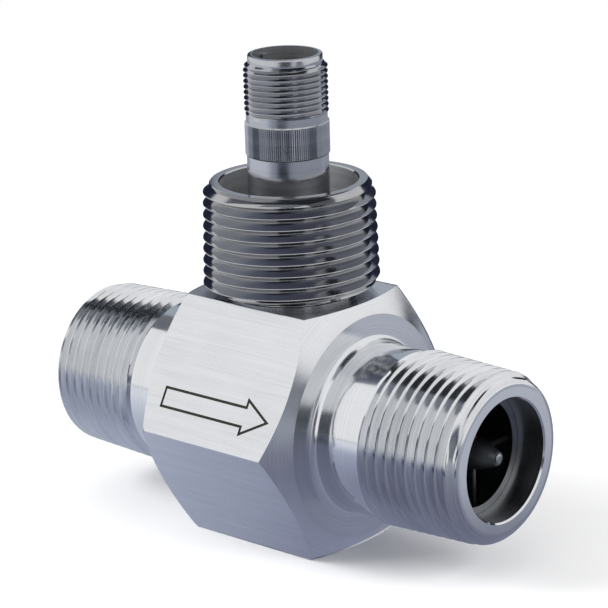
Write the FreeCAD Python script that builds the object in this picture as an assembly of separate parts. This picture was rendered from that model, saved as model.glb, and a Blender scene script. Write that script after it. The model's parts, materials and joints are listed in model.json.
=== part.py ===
"""Turbine water flow sensor: hexagon body, bladed rotor between vaned supports, and a magnetic pickup.

Millimetres, +Z up. Water flows along +X. The origin is the centre of the hexagon's bottom flat.
The three pipe threads are cut as right-handed helices. The pickup's two fine threads are drawn as the
smooth envelope of their crests.
"""
import FreeCAD
import Part
import math
import os

# Hexagon bar with turned ends
across_flats = 47.625
overall_length = 101.6
hexagon_length = 36.0
end_ring_radius = 21.5
corner_chamfer_angle = 30.0
neck_radius = 16.3
neck_fillet = 1.5
body_edge_break = 0.25

# Tapered pipe thread, the same on both ends and on the riser
pipe_crest_radius = 16.3
pipe_taper_on_diameter = 1.0 / 16.0
pipe_thread_length = 22.0
pipe_end_round = 2.75
pipe_start_chamfer = 0.6
pipe_pitch = 25.4 / 11.5
pipe_flank_angle = 30.0
pipe_crest_flat = 0.3
pipe_root_flat = 0.1
pipe_groove_setback = 1.0
outlet_groove_angle = -150.0
inlet_groove_angle = -6.0
riser_groove_angle = 53.0

# Bores of the body
metering_bore_radius = 11.0
support_bore_radius = 11.65
mouth_bevel = 0.3
support_shoulder = 14.0

# Retaining rings
ring_depth = 6.2
ring_thickness = 1.1
ring_groove_depth = 0.65
ring_inner_radius = 10.1
ring_opening = 5.0
ring_side_play = 0.06
ring_rim_play = 0.1

# Vaned supports
support_hub_radius = 3.8
support_nose_tip_radius = 1.3
support_nose_length = 11.0
support_nose_end = 1.9
support_hub_start = 6.0
vane_count = 4
vane_thickness = 1.2
vane_edge_round = 0.4
vane_fit = 0.05

# Bearings, thrust pins and shaft
shaft_radius = 1.0
shaft_running_clearance = 0.03
shaft_end_float = 0.2
bearing_radius = 2.0
bearing_length = 8.0
bearing_recess = 0.4
bearing_bevel = 0.2
thrust_pin_radius = 0.95
thrust_pin_stand_out = 0.35

# Rotor
rotor_hub_radius = 3.8
rotor_hub_length = 10.0
rotor_hub_bevel = 0.5
blade_count = 6
blade_length = 8.8
blade_thickness = 0.8
blade_tip_angle = 40.0
blade_tip_clearance = 0.45

# Riser over the pickup
riser_spigot_radius = 12.0
riser_spigot_depth = 4.5
riser_gap = 1.1
riser_thread_length = 20.7
riser_cavity_radius = 13.1
riser_floor = 2.9
riser_bottom_bevel = 0.5
riser_rim_bevel = 0.25
riser_rim_face_radius = 14.9
riser_rim_slope_length = 1.7
seat_play = 0.04

# Magnetic pickup: a turned shell screwed into a blind pocket over the rotor
pickup_pocket_floor = 1.0
pickup_thread_radius = 7.94
pickup_tip_gap = 0.1
pickup_thread_play = 0.06
pickup_lower_thread_length = 18.9
pickup_plain_radius = 7.75
pickup_plain_length = 19.9
knurl_radius = 8.0
knurl_length = 6.2
relief_radius = 7.7
relief_length = 1.5
connector_thread_radius = 7.94
connector_thread_length = 9.7
connector_thread_chamfer = 0.7
connector_rim_radius = 7.05
connector_rim_length = 1.5
connector_rim_round = 0.3
pickup_chamfer = 0.25

# Connector socket
socket_radius = 6.25
socket_depth = 11.0
insert_thickness = 3.0
insert_ledge = 0.8
key_width = 1.6
key_height = 0.7
key_setback = 1.0
key_angle = 172.0
contact_radius = 0.79
contact_spacing = 5.6
contact_height = 6.4
contact_tail = 3.0

# Coil, pole piece and magnet inside the shell
shell_floor = 0.8
shell_bore_radius = 6.4
pole_radius = 1.6
pole_setback = 0.2
pole_length = 12.0
magnet_radius = 3.2
magnet_length = 12.0
bobbin_length = 9.5
bobbin_flange = 0.9
bobbin_flange_radius = 6.0
bobbin_tube_wall = 0.6
winding_radius = 5.5
lead_radius = 0.35
lead_clearance = 0.7

# Worked out from the sizes above
axis_height = across_flats / 2
half_length = overall_length / 2
half_hexagon = hexagon_length / 2
top_flat = across_flats
taper_per_length = pipe_taper_on_diameter / 2
ring_outer_face = half_length - ring_depth
ring_inner_face = ring_outer_face - ring_thickness
groove_radius = support_bore_radius + ring_groove_depth
thrust_face = support_hub_start + bearing_recess + bearing_length
shaft_end = thrust_face - shaft_end_float
nose_tip = half_length - support_nose_end
blade_tip_radius = metering_bore_radius - blade_tip_clearance
riser_seat = top_flat - riser_spigot_depth
riser_shoulder = top_flat + riser_gap
riser_top = riser_shoulder + riser_thread_length
riser_cavity_floor = riser_shoulder + riser_floor
pocket_floor = axis_height + metering_bore_radius + pickup_pocket_floor
pickup_bore_radius = pickup_thread_radius + pickup_thread_play
pickup_tip = pocket_floor + pickup_tip_gap
plain_start = pickup_tip + pickup_lower_thread_length
knurl_start = plain_start + pickup_plain_length
relief_start = knurl_start + knurl_length
connector_thread_start = relief_start + relief_length
rim_start = connector_thread_start + connector_thread_length
pickup_top = rim_start + connector_rim_length
insert_face = pickup_top - socket_depth
insert_back = insert_face - insert_thickness
shell_bore_start = pickup_tip + shell_floor
shell_bore_end = insert_back - insert_ledge
pole_start = pickup_tip + pole_setback
pole_end = pole_start + pole_length
bobbin_end = shell_bore_start + bobbin_length
lead_offset = magnet_radius + lead_clearance + lead_radius

X_AXIS = FreeCAD.Vector(1, 0, 0)
Y_AXIS = FreeCAD.Vector(0, 1, 0)
Z_AXIS = FreeCAD.Vector(0, 0, 1)
ORIGIN = FreeCAD.Vector(0, 0, 0)
AXIS_POINT = FreeCAD.Vector(0, 0, axis_height)
HALF_DIAGONAL = math.sqrt(0.5)


def flow_point(along, radius):
    """A profile point: its place along the flow axis and its distance from it."""
    return FreeCAD.Vector(along, 0, axis_height + radius)


def upright_point(height, radius):
    """A profile point: its height and its distance from the upright axis."""
    return FreeCAD.Vector(radius, 0, height)


def outline(points):
    """Straight edges from each point to the next."""
    return [Part.makeLine(start, end) for start, end in zip(points, points[1:])]


def arc(start, middle, end):
    """A circular edge through three points."""
    return Part.Arc(start, middle, end).toShape()


def turned(edges, base, axis):
    """A full turn of the closed profile made of the edges."""
    face = Part.Face(Part.Wire(edges))
    return face.revolve(base, axis, 360)


def turned_on_flow_axis(pairs):
    """A solid turned about the flow axis from (along, radius) pairs."""
    points = [flow_point(along, radius) for along, radius in pairs]
    return turned(outline(points + points[:1]), AXIS_POINT, X_AXIS)


def turned_upright(pairs):
    """A solid turned about the upright axis from (height, radius) pairs."""
    points = [upright_point(height, radius) for height, radius in pairs]
    return turned(outline(points + points[:1]), ORIGIN, Z_AXIS)


def flow_cylinder(radius, start, length):
    """A cylinder on the flow axis."""
    return Part.makeCylinder(radius, length, FreeCAD.Vector(start, 0, axis_height), X_AXIS)


def upright_cylinder(radius, start, length):
    """A cylinder on the upright axis."""
    return Part.makeCylinder(radius, length, FreeCAD.Vector(0, 0, start), Z_AXIS)


def upstream_copy(shape):
    """The same shape on the other side of the rotor."""
    return shape.mirror(ORIGIN, X_AXIS)


def on_both_ends(shape):
    """A downstream shape fused with its upstream copy."""
    return shape.fuse(upstream_copy(shape)).removeSplitter()


def one_solid(shape):
    """The single solid that a chain of fuses and cuts leaves."""
    return shape.removeSplitter().Solids[0]


def pipe_crest(distance_from_end):
    """The crest radius of the tapered pipe thread."""
    return pipe_crest_radius + distance_from_end * taper_per_length


def pipe_groove(length, start_angle):
    """The groove of the tapered thread: a right-handed V round +Z, from its large end and past its small one."""
    slope = math.tan(math.radians(pipe_flank_angle))
    depth = (pipe_pitch - pipe_crest_flat - pipe_root_flat) / 2 / slope
    clear = pipe_crest_flat / 3
    large = pipe_crest(length)
    half_root = pipe_root_flat / 2
    half_top = half_root + (depth + clear) * slope
    corners = [
        upright_point(-half_root, large - depth),
        upright_point(half_root, large - depth),
        upright_point(half_top, large + clear),
        upright_point(-half_top, large + clear),
    ]
    profile = Part.makePolygon(corners + corners[:1])
    taper = math.degrees(math.atan(taper_per_length))
    helix = Part.makeLongHelix(pipe_pitch, length + pipe_pitch, large, -taper)
    groove = Part.Wire(helix.Edges).makePipeShell([profile], True, True)
    groove.rotate(ORIGIN, Z_AXIS, start_angle)
    return groove


def end_groove(start_angle):
    """The groove of the thread on the downstream end."""
    groove = pipe_groove(pipe_thread_length - pipe_groove_setback, start_angle)
    groove.rotate(ORIGIN, Y_AXIS, 90)
    groove.translate(FreeCAD.Vector(half_length - pipe_thread_length + pipe_groove_setback, 0, axis_height))
    return groove


def hexagon_bar():
    """The bar, with one flat up, and its corners turned down at both ends."""
    corner_radius = across_flats / math.sqrt(3)
    corners = []
    for index in range(7):
        angle = math.radians(60 * index)
        across = corner_radius * math.cos(angle)
        up = axis_height + corner_radius * math.sin(angle)
        corners.append(FreeCAD.Vector(-half_hexagon, across, up))
    bar = Part.Face(Part.makePolygon(corners)).extrude(X_AXIS * hexagon_length)
    slope = math.tan(math.radians(corner_chamfer_angle))
    outside = corner_radius + neck_fillet
    setback = (outside - end_ring_radius) * slope
    envelope = turned_on_flow_axis([
        (-half_hexagon, 0),
        (-half_hexagon, end_ring_radius),
        (-half_hexagon + setback, outside),
        (half_hexagon - setback, outside),
        (half_hexagon, end_ring_radius),
        (half_hexagon, 0),
    ])
    return bar.common(envelope)


def male_end():
    """The downstream neck and its tapered thread, with a filleted root and a rounded end."""
    thread_start = half_length - pipe_thread_length
    face_radius = pipe_crest_radius - pipe_end_round
    round_start = half_length - pipe_end_round
    fillet_end = half_hexagon + neck_fillet
    fillet_step = neck_fillet * (1 - HALF_DIAGONAL)
    round_reach = pipe_end_round * HALF_DIAGONAL
    inner = half_hexagon - neck_fillet
    fillet_top = flow_point(half_hexagon, neck_radius + neck_fillet)
    fillet_foot = flow_point(fillet_end, neck_radius)
    crest_end = flow_point(round_start, pipe_crest_radius)
    face_edge = flow_point(half_length, face_radius)
    edges = outline([
        flow_point(inner, 0),
        flow_point(inner, neck_radius + neck_fillet),
        fillet_top,
    ])
    edges.append(arc(
        fillet_top,
        flow_point(half_hexagon + fillet_step, neck_radius + fillet_step),
        fillet_foot,
    ))
    edges += outline([
        fillet_foot,
        flow_point(thread_start, neck_radius),
        flow_point(thread_start + pipe_start_chamfer, pipe_crest(pipe_thread_length)),
        crest_end,
    ])
    edges.append(arc(
        crest_end,
        flow_point(round_start + round_reach, face_radius + round_reach),
        face_edge,
    ))
    edges += outline([face_edge, flow_point(half_length, 0), flow_point(inner, 0)])
    return turned(edges, AXIS_POINT, X_AXIS)


def bore_half():
    """The downstream half of the water way: metering bore, support bore, ring groove and mouth."""
    groove_start = ring_inner_face - ring_side_play
    groove_end = ring_outer_face + ring_side_play
    beyond = half_length + mouth_bevel
    return turned_on_flow_axis([
        (0, 0),
        (0, metering_bore_radius),
        (support_shoulder, metering_bore_radius),
        (support_shoulder, support_bore_radius),
        (groove_start, support_bore_radius),
        (groove_start, groove_radius),
        (groove_end, groove_radius),
        (groove_end, support_bore_radius),
        (half_length - mouth_bevel, support_bore_radius),
        (beyond, support_bore_radius + 2 * mouth_bevel),
        (beyond, 0),
    ])


def riser_and_pickup_pocket():
    """The counterbore for the riser's spigot over the blind hole for the pickup."""
    spigot_radius = riser_spigot_radius + seat_play
    bevel = body_edge_break
    return turned_upright([
        (pocket_floor, 0),
        (pocket_floor, pickup_bore_radius),
        (riser_seat, pickup_bore_radius),
        (riser_seat, spigot_radius),
        (top_flat - bevel, spigot_radius),
        (top_flat + bevel, spigot_radius + 2 * bevel),
        (top_flat + bevel, 0),
    ])


def meter_body():
    """The body: one piece of hexagon bar, turned, bored and threaded on both ends."""
    solid = hexagon_bar().fuse(on_both_ends(male_end()))
    solid = solid.cut(on_both_ends(bore_half()))
    solid = one_solid(solid.cut(riser_and_pickup_pocket()))
    inlet = end_groove(inlet_groove_angle)
    inlet.rotate(ORIGIN, Z_AXIS, 180)
    return solid.cut(end_groove(outlet_groove_angle)).cut(inlet).Solids[0]


def retaining_ring():
    """The downstream spring ring, with its opening at the front."""
    ring_radius = groove_radius - ring_rim_play
    ring = flow_cylinder(ring_radius, ring_inner_face, ring_thickness)
    ring = ring.cut(flow_cylinder(ring_inner_radius, ring_inner_face, ring_thickness))
    corner = FreeCAD.Vector(ring_inner_face, -groove_radius, axis_height - ring_opening / 2)
    return ring.cut(Part.makeBox(ring_thickness, groove_radius, ring_opening, corner))


def support_hub():
    """The downstream hub: a cylinder that ends in a rounded nose."""
    nose_start = nose_tip - support_nose_length
    shoulder = flow_point(nose_start, support_hub_radius)
    tip = flow_point(nose_tip, support_nose_tip_radius)
    drop = support_hub_radius - support_nose_tip_radius
    ogive_radius = (support_nose_length ** 2 + drop ** 2) / (2 * drop)
    half_nose = support_nose_length / 2
    sag = ogive_radius - math.sqrt(ogive_radius ** 2 - half_nose ** 2)
    middle = flow_point(nose_start + half_nose, support_hub_radius - sag)
    edges = outline([
        flow_point(nose_tip, 0),
        flow_point(support_hub_start, 0),
        flow_point(support_hub_start, support_hub_radius),
        shoulder,
    ])
    edges.append(arc(shoulder, middle, tip))
    edges += outline([tip, flow_point(nose_tip, 0)])
    return turned(edges, AXIS_POINT, X_AXIS)


def vane():
    """One straight vane, with rounded edges, from inside the hub to the support bore."""
    reach = support_bore_radius - vane_fit
    length = ring_inner_face - vane_fit - support_shoulder
    corner = FreeCAD.Vector(support_shoulder, -vane_thickness / 2, axis_height)
    plate = Part.makeBox(length, vane_thickness, support_bore_radius, corner)
    upright_edges = [edge for edge in plate.Edges if edge.BoundBox.ZLength > vane_thickness]
    plate = plate.makeFillet(vane_edge_round, upright_edges)
    return plate.common(flow_cylinder(reach, support_shoulder, length))


def vaned_support():
    """The downstream support: hub and vanes in one piece, bored for the bearing and the thrust pin."""
    solid = support_hub()
    for index in range(vane_count):
        turned_vane = vane()
        turned_vane.rotate(AXIS_POINT, X_AXIS, 360.0 * index / vane_count)
        solid = solid.fuse(turned_vane)
    bearing_seat = flow_cylinder(
        bearing_radius, support_hub_start, bearing_recess + bearing_length
    )
    pin_hole = flow_cylinder(thrust_pin_radius, thrust_face, nose_tip - thrust_face)
    return one_solid(solid.cut(bearing_seat).cut(pin_hole))


def shaft_bearing():
    """The downstream bush that the shaft runs in."""
    start = support_hub_start + bearing_recess
    inner = shaft_radius + shaft_running_clearance
    return turned_on_flow_axis([
        (start, inner + bearing_bevel),
        (start, bearing_radius),
        (thrust_face, bearing_radius),
        (thrust_face, inner),
        (start + bearing_bevel, inner),
    ])


def thrust_pin():
    """The downstream pin that stops the shaft's end; its outer end shows at the nose."""
    end = nose_tip + thrust_pin_stand_out
    bevel = thrust_pin_stand_out / 2
    return turned_on_flow_axis([
        (thrust_face, 0),
        (thrust_face, thrust_pin_radius),
        (end - bevel, thrust_pin_radius),
        (end, thrust_pin_radius - bevel),
        (end, 0),
    ])


def rotor_shaft():
    """The shaft, with a small bevel on each end."""
    bevel = bearing_bevel
    return turned_on_flow_axis([
        (-shaft_end, 0),
        (-shaft_end, shaft_radius - bevel),
        (-shaft_end + bevel, shaft_radius),
        (shaft_end - bevel, shaft_radius),
        (shaft_end, shaft_radius - bevel),
        (shaft_end, 0),
    ])


def blade_section(radius):
    """The lens-shaped section of a blade at a distance from the axis, turned to its own angle."""
    tangent = math.tan(math.radians(blade_tip_angle)) * radius / blade_tip_radius
    angle = math.atan(tangent)
    half_chord = blade_length / 2 / math.cos(angle)
    half_thickness = blade_thickness / 2
    along = FreeCAD.Vector(math.cos(angle), math.sin(angle), 0)
    across = FreeCAD.Vector(-math.sin(angle), math.cos(angle), 0)
    centre = FreeCAD.Vector(0, 0, axis_height + radius)
    front = centre - along * half_chord
    back = centre + along * half_chord
    upper = arc(front, centre + across * half_thickness, back)
    lower = arc(back, centre - across * half_thickness, front)
    return Part.Wire([upper, lower])


def rotor_blade():
    """One twisted blade, from inside the hub to the tip circle."""
    root = rotor_hub_radius / 2
    beyond = blade_tip_radius + blade_thickness
    twisted = Part.makeLoft([blade_section(root), blade_section(beyond)], True, True)
    limit = flow_cylinder(blade_tip_radius, -blade_length, 2 * blade_length)
    return twisted.common(limit)


def rotor():
    """The rotor: a hub with twisted blades, bored for the shaft."""
    half_hub = rotor_hub_length / 2
    bevel = rotor_hub_bevel
    solid = turned_on_flow_axis([
        (-half_hub, 0),
        (-half_hub, rotor_hub_radius - bevel),
        (-half_hub + bevel, rotor_hub_radius),
        (half_hub - bevel, rotor_hub_radius),
        (half_hub, rotor_hub_radius - bevel),
        (half_hub, 0),
    ])
    for index in range(blade_count):
        blade = rotor_blade()
        blade.rotate(AXIS_POINT, X_AXIS, 360.0 * index / blade_count)
        solid = solid.fuse(blade)
    return one_solid(solid.cut(flow_cylinder(shaft_radius, -half_hub, rotor_hub_length)))


def conduit_riser():
    """The threaded tube over the pickup, with a floor and a spigot that seats in the body."""
    hole = pickup_bore_radius + pickup_thread_play
    bevel = riser_bottom_bevel
    tube = turned_upright([
        (riser_seat, hole),
        (riser_seat, riser_spigot_radius),
        (riser_shoulder, riser_spigot_radius),
        (riser_shoulder, pipe_crest(riser_thread_length) - bevel),
        (riser_shoulder + bevel, pipe_crest(riser_thread_length)),
        (riser_top - riser_rim_slope_length, pipe_crest(riser_rim_slope_length)),
        (riser_top, riser_rim_face_radius),
        (riser_top, riser_cavity_radius + riser_rim_bevel),
        (riser_top - riser_rim_bevel, riser_cavity_radius),
        (riser_cavity_floor, riser_cavity_radius),
        (riser_cavity_floor, hole),
    ])
    groove = pipe_groove(riser_thread_length + pipe_groove_setback, riser_groove_angle)
    groove.translate(upright_point(riser_shoulder - pipe_groove_setback, 0))
    return tube.cut(groove).Solids[0]


def pickup_shell():
    """The pickup's shell: pole hole, coil bore, ledge for the insert, and a keyed socket."""
    bevel = pickup_chamfer
    thread_bevel = connector_thread_chamfer
    rim_bevel = connector_rim_round
    ledge_radius = socket_radius - insert_ledge
    shell = turned_upright([
        (pickup_tip, pole_radius),
        (pickup_tip, pickup_thread_radius - bevel),
        (pickup_tip + bevel, pickup_thread_radius),
        (plain_start - bevel, pickup_thread_radius),
        (plain_start, pickup_plain_radius),
        (knurl_start - bevel, pickup_plain_radius),
        (knurl_start, knurl_radius),
        (relief_start - bevel, knurl_radius),
        (relief_start, relief_radius),
        (connector_thread_start, relief_radius),
        (connector_thread_start + bevel, connector_thread_radius),
        (rim_start - thread_bevel, connector_thread_radius),
        (rim_start, connector_rim_radius),
        (pickup_top - rim_bevel, connector_rim_radius),
        (pickup_top, connector_rim_radius - rim_bevel),
        (pickup_top, socket_radius),
        (insert_back, socket_radius),
        (insert_back, ledge_radius),
        (shell_bore_end, ledge_radius),
        (shell_bore_end, shell_bore_radius),
        (shell_bore_start, shell_bore_radius),
        (shell_bore_start, pole_radius),
    ])
    return one_solid(shell.fuse(polarising_key()))


def polarising_key():
    """The ridge inside the socket that lets the plug in one way round."""
    length = pickup_top - key_setback - insert_face
    inner = socket_radius - key_height
    ridge = Part.makeBox(
        key_height + (connector_rim_radius - socket_radius) / 2,
        key_width,
        length,
        FreeCAD.Vector(inner, -key_width / 2, insert_face),
    )
    ridge.rotate(ORIGIN, Z_AXIS, key_angle)
    return ridge


def contact_places():
    """The centres of the two contacts, on either side of the upright axis."""
    half = contact_spacing / 2
    return (FreeCAD.Vector(-half, 0, 0), FreeCAD.Vector(half, 0, 0))


def connector_insert():
    """The insulating disc that carries the contacts."""
    disc = upright_cylinder(socket_radius, insert_back, insert_thickness)
    for place in contact_places():
        base = FreeCAD.Vector(place.x, place.y, insert_back)
        disc = disc.cut(Part.makeCylinder(contact_radius, insert_thickness, base, Z_AXIS))
    return disc


def contact_pin(place):
    """One contact: a round-ended pin with a solder tail under the insert."""
    bottom = insert_back - contact_tail
    top = insert_face + contact_height
    base = FreeCAD.Vector(place.x, place.y, bottom)
    pin = Part.makeCylinder(contact_radius, top - bottom, base, Z_AXIS)
    crown = [edge for edge in pin.Edges if abs(edge.BoundBox.ZMin - top) < contact_radius / 10]
    return pin.makeFillet(contact_radius * HALF_DIAGONAL, crown)


def pole_piece():
    """The soft iron pole that points at the rotor."""
    return upright_cylinder(pole_radius, pole_start, pole_length)


def pickup_magnet():
    """The magnet on top of the pole piece."""
    return upright_cylinder(magnet_radius, pole_end, magnet_length)


def coil_bobbin():
    """The flanged bobbin round the pole piece."""
    tube_radius = pole_radius + bobbin_tube_wall
    return turned_upright([
        (shell_bore_start, pole_radius),
        (shell_bore_start, bobbin_flange_radius),
        (shell_bore_start + bobbin_flange, bobbin_flange_radius),
        (shell_bore_start + bobbin_flange, tube_radius),
        (bobbin_end - bobbin_flange, tube_radius),
        (bobbin_end - bobbin_flange, bobbin_flange_radius),
        (bobbin_end, bobbin_flange_radius),
        (bobbin_end, pole_radius),
    ])


def coil_winding():
    """The wound wire between the bobbin's flanges."""
    start = shell_bore_start + bobbin_flange
    length = bobbin_length - 2 * bobbin_flange
    tube_radius = pole_radius + bobbin_tube_wall
    winding = upright_cylinder(winding_radius, start, length)
    return winding.cut(upright_cylinder(tube_radius, start, length))


def coil_lead(place):
    """One lead: up beside the magnet from the bobbin's flange, then in to a contact's tail."""
    foot = FreeCAD.Vector(math.copysign(lead_offset, place.x), 0, bobbin_end)
    bend = FreeCAD.Vector(foot.x, 0, insert_back - contact_tail - contact_radius)
    end = FreeCAD.Vector(place.x, 0, insert_back - contact_tail)
    upright_run = Part.makeCylinder(lead_radius, bend.z - foot.z, foot, Z_AXIS)
    slanting_run = Part.makeCylinder(lead_radius, (end - bend).Length, bend, end - bend)
    lead = upright_run.fuse(slanting_run).fuse(Part.makeSphere(lead_radius, bend))
    below_contact = upright_cylinder(shell_bore_radius, bobbin_end, end.z - bobbin_end)
    return one_solid(lead.common(below_contact))


def pickup_potting(inner_pieces):
    """The resin that fills the shell round everything in it."""
    filled = upright_cylinder(shell_bore_radius, shell_bore_start, shell_bore_end - shell_bore_start)
    ledge_radius = socket_radius - insert_ledge
    neck = upright_cylinder(ledge_radius, shell_bore_end, insert_ledge)
    filled = filled.fuse(neck)
    for piece in inner_pieces:
        filled = filled.cut(piece)
    return one_solid(filled)


def save(name, shape):
    """Write one piece."""
    shape.exportStep(f"parts/{name}.step")


def main():
    os.makedirs("parts", exist_ok=True)
    save("meter_body", meter_body())
    for name, shape in (
        ("support", vaned_support()),
        ("retaining_ring", retaining_ring()),
        ("bearing", shaft_bearing()),
        ("thrust_pin", thrust_pin()),
    ):
        save(f"downstream_{name}", shape)
        save(f"upstream_{name}", upstream_copy(shape))
    save("rotor", rotor())
    save("rotor_shaft", rotor_shaft())
    save("conduit_riser", conduit_riser())
    save("pickup_shell", pickup_shell())
    save("connector_insert", connector_insert())
    inner_pieces = [pole_piece(), pickup_magnet(), coil_bobbin(), coil_winding()]
    names = ["pole_piece", "pickup_magnet", "coil_bobbin", "coil_winding"]
    for side, place in zip(("a", "b"), contact_places()):
        inner_pieces += [contact_pin(place), coil_lead(place)]
        names += [f"contact_pin_{side}", f"coil_lead_{side}"]
    for name, shape in zip(names, inner_pieces):
        save(name, shape)
    save("pickup_potting", pickup_potting(inner_pieces))


main()
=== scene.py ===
"""Turbine water flow sensor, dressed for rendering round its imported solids. Lengths are metres."""

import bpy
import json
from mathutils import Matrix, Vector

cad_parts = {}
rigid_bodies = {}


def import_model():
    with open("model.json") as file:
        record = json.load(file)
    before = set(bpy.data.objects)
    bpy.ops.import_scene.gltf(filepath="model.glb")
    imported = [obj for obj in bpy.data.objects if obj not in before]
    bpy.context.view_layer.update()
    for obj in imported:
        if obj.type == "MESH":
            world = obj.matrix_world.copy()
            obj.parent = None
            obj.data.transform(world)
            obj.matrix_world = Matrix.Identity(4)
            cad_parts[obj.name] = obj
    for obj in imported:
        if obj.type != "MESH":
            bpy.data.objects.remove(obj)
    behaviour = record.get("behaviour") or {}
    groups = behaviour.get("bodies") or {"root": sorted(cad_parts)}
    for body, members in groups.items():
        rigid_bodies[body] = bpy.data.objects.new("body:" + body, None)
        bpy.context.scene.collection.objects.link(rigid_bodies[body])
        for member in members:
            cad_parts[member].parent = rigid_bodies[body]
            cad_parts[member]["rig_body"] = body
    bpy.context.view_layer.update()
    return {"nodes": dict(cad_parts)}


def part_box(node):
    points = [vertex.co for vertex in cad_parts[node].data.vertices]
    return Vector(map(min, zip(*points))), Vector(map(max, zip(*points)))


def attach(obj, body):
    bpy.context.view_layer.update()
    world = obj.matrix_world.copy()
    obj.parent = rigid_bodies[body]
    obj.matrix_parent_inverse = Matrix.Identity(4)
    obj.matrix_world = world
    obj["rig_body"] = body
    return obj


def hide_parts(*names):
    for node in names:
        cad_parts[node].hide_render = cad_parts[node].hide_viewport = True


bl_info = {
    "name": "Flow sensor",
    "version": (1, 0, 0),
    "blender": (4, 5, 0),
    "location": "3D View > Sidebar > Flow sensor",
    "description": "Models the turned, threaded and machined pieces of a turbine flow sensor",
    "category": "Add Mesh",
}

import json
import math

import bmesh
import bpy
from bpy.props import FloatProperty, FloatVectorProperty, IntProperty, PointerProperty
from mathutils import Matrix, Vector, geometry

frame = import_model()

MM = 0.001
# Points closer than the weld are merged, and points within the tolerance of a cut lie on it.
WELD = 0.000002
CUT_TOLERANCE = WELD / 10
# A turned form is spun in one sector, which is then copied round.
SECTORS = 8
# Parts of the arcs at the neck's root, inside a rounded end and over it.
FILLET_PARTS, END_PARTS, THREAD_END_PARTS = 6, 4, 16
# A thread's teeth start this many turns under its lower end.
SPARE_TURNS = 1.5
# Turned faces whose normal leans along the flow axis by more than this are faced, and duller.
FACED_SLOPE = 0.45
# Two directions are the same past this product.
SAME_WAY = 0.99
# How close to its radius a face of the socket's wall lies.
WALL_TOLERANCE = 0.05 * MM
# The engraved line is this many times as wide as one of its slanting walls.
WALL_PARTS = 12
# How unevenly the knurl is pressed, and the angle between one tooth's depth and the next.
KNURL_UNEVENNESS, KNURL_TURN = 0.1, 2.4
# How far a thread's lower limit lies under its roots, and over what length it gets there at each end.
BODY_ROOT_ROOM, BODY_LEAD = 0.3 * MM, 0.5 * MM
RISER_ROOT_ROOM, RISER_FOOT_LEAD, RISER_RIM_LEAD = 0.5 * MM, 0.2 * MM, 0.3 * MM
FINE_ROOT_ROOM, FINE_LEAD = 0.1 * MM, 0.1 * MM
BODY_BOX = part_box("meter_body")
RISER_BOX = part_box("conduit_riser")
PICKUP_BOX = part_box("pickup_shell")

# Tooth shapes from crest to root: (share of the pitch from the crest, share of the depth).
TAPER_TOOTH = ((0.0, 0.0), (0.04, 0.03), (0.08, 0.13), (0.265, 0.53), (0.45, 0.94), (0.5, 1.0))
PLAIN_TOOTH = ((0.0, 0.0), (0.05, 0.03), (0.09, 0.14), (0.25, 0.5), (0.41, 0.9), (0.5, 1.0))

# Shares of grooves, clouds and specks in a metal's marks, tone, wear and height.
LINES_IN_MARKS, BANDS_IN_MARKS = 0.5, 0.3
CLOUDS_IN_TONE, SPECKS_IN_TONE = 0.2, 0.15
CLOUDS_IN_WEAR, MARKS_IN_WEAR = 0.5, 0.6
SPECKS_IN_HEIGHT = 0.4
# Turn of the stretched gloss on a brushed face, as a share of a full turn.
BRUSHED_TURN = 0.25
# Sockets of a colour mix.
MIX_FACTOR, MIX_FIRST, MIX_SECOND, MIX_RESULT = 0, 6, 7, 2

# Sensor width in millimetres and the camera's nearest and farthest sight.
SENSOR, NEAREST, FARTHEST = 36.0, 0.01, 20.0
# The point that lamps and cards face.
STAGE_CENTRE = Vector((0, 0, 0.04))
# Half the floor's width, and how far it lies under the object.
FLOOR_HALF, FLOOR_DROP = 3.0, 0.00005
FLOOR_ROUGHNESS, FLOOR_SPECULAR = 0.9, 0.1
# Half the side of a card before it gets its size.
CARD_HALF = 0.5
# Distances over which the floor turns into the white background.
WHITE_START, WHITE_END = 0.2, 0.5

# Range of the table's colours along the flow axis.
TABLE_LEFT, TABLE_RIGHT = -0.12, 0.16
# Where the front's light ends and the back's is whole, and where the far table begins and is whole.
FRONT_END, BACK_WHOLE = -0.005, 0.035
FAR_START, FAR_WHOLE = 0.15, 0.3
# Painted light of the table in front of the object and behind it, as the steel reflects it; the dim
# colours near the object are its painted shadow: (place along the flow axis, colour). The outermost two
# come first.
FRONT_TABLE = (
    (-0.11, (0.84, 0.87, 0.93)),
    (0.16, (0.3, 0.32, 0.38)),
    (-0.065, (0.68, 0.72, 0.82)),
    (-0.028, (0.44, 0.48, 0.6)),
    (-0.006, (0.375, 0.404, 0.52)),
    (0.012, (0.28, 0.3, 0.41)),
    (0.06, (0.19, 0.2, 0.28)),
)
BACK_TABLE = (
    (-0.11, (0.3, 0.33, 0.42)),
    (0.16, (0.4, 0.42, 0.48)),
    (0.0, (0.3, 0.32, 0.4)),
    (0.06, (0.25, 0.27, 0.33)),
    (0.09, (0.5, 0.52, 0.6)),
    (0.13, (0.56, 0.58, 0.66)),
)

# Order of the materials of the body, the riser and the pickup's shell.
TURNED, BRUSHED, THREADED, BORED, MARKED, FACED = range(6)
RISER_TURNED, RISER_THREADED, RISER_CAVITY = range(3)
PICKUP_TURNED, PICKUP_THREADED, PICKUP_KNURLED, PICKUP_SOCKET = range(4)


# Sizes and looks that the user can change


def length(label, millimetres, text):
    """A length that the user can change."""
    return FloatProperty(name=label, description=text, default=millimetres * MM, unit="LENGTH", precision=5)


def colour(label, value, text):
    """A colour that the user can change."""
    return FloatVectorProperty(
        name=label, description=text, default=value, subtype="COLOR", size=3, min=0.0, max=1.0
    )


def share(label, value, text):
    """A number from 0 to 1 that the user can change."""
    return FloatProperty(name=label, description=text, default=value, min=0.0, max=1.0, subtype="FACTOR")


def angle(label, degrees, text):
    """An angle that the user can change."""
    return FloatProperty(name=label, description=text, default=math.radians(degrees), subtype="ANGLE")


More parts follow.
